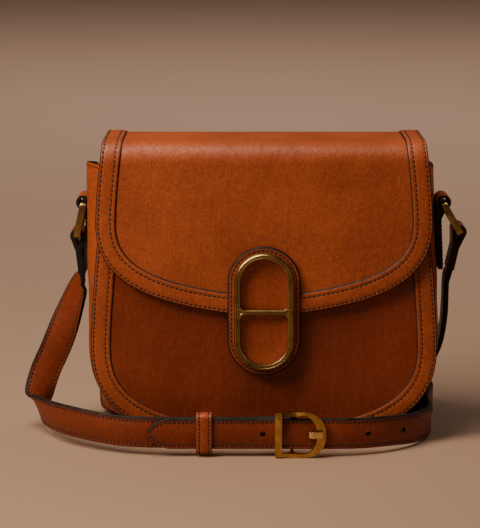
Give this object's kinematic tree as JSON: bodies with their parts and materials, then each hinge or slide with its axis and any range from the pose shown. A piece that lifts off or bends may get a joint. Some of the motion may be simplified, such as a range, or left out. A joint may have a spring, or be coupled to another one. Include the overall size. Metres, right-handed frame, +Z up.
{
  "type": "saddle handbag",
  "caption": "Saddle-shaped leather handbag with a round-fronted body, a flap over the top with a magnetic clasp, and a buckled shoulder strap held by rings at the sides.",
  "frame": {"origin": "middle of the base, on the flat surface that the bag stands on", "axes": "+X to the right as seen from the front, +Y towards the back panel, +Z up to the mouth"},
  "size_m": [0.3135, 0.1691, 0.2126],
  "materials": {
    "leather_tan": "satin",
    "leather_band": "satin",
    "leather_strap": "satin",
    "lining": "matte",
    "board": "matte",
    "brass": "satin",
    "snap": "satin"
  },
  "bodies": {
    "bag": {"front_panel": "leather_tan", "front_band": "leather_band", "back_panel": "leather_tan", "back_band": "leather_band", "gusset": "leather_tan", "flap_yoke": "leather_tan", "yoke_band": "leather_band", "lining_front": "lining", "lining_back": "lining", "lining_gusset": "lining", "slip_pocket": "lining", "pocket_binding": "leather_band", "base_board": "board", "magnet_socket": "snap", "magnet_washer": "snap", "side_tab_left": "leather_tan", "side_tab_right": "leather_tan", "strap_left_drop": "leather_strap", "strap_buckle_run": "leather_strap", "strap_buckle_end": "leather_strap", "strap_right_drop": "leather_strap", "strap_tip_run": "leather_strap", "strap_tip": "leather_strap", "buckle_frame": "brass", "buckle_pin": "brass"},
    "flap": {"flap": "leather_tan", "flap_band": "leather_band", "flap_lining": "lining", "clasp_tab": "leather_tan", "clasp_frame": "brass", "clasp_posts": "brass", "magnet_stud": "snap"},
    "ring_left": {"side_ring_left": "brass", "strap_end_left": "leather_strap"},
    "ring_right": {"side_ring_right": "brass", "strap_end_right": "leather_strap"},
    "keeper": {"keeper": "leather_strap"},
    "tongue": {"buckle_tongue": "brass"}
  },
  "joints": [
    {"name": "flap_hinge", "type": "hinge", "parent": "bag", "child": "flap", "pos_m": [0, 0.03319, 0.20775], "axis": [-1, 0, 0], "range_deg": [0, 165]},
    {"name": "ring_left_swing", "type": "hinge", "parent": "bag", "child": "ring_left", "pos_m": [-0.12583, 0, 0.1644], "axis": [0, 1, 0], "range_deg": [0, 78], "deforming": ["strap_left_drop"]},
    {"name": "ring_right_swing", "type": "hinge", "parent": "bag", "child": "ring_right", "pos_m": [0.12583, 0, 0.1644], "axis": [0, -1, 0], "range_deg": [-3, 60], "deforming": ["strap_right_drop"]},
    {"name": "keeper_slide", "type": "slide", "parent": "bag", "child": "keeper", "axis": [1, 0, 0], "range_m": [-0.025, 0.032]},
    {"name": "tongue_pivot", "type": "hinge", "parent": "bag", "child": "tongue", "pos_m": [0.019, -0.06815, 0.01625], "axis": [0, 0, -1], "range_deg": [0, 6]}
  ]
}
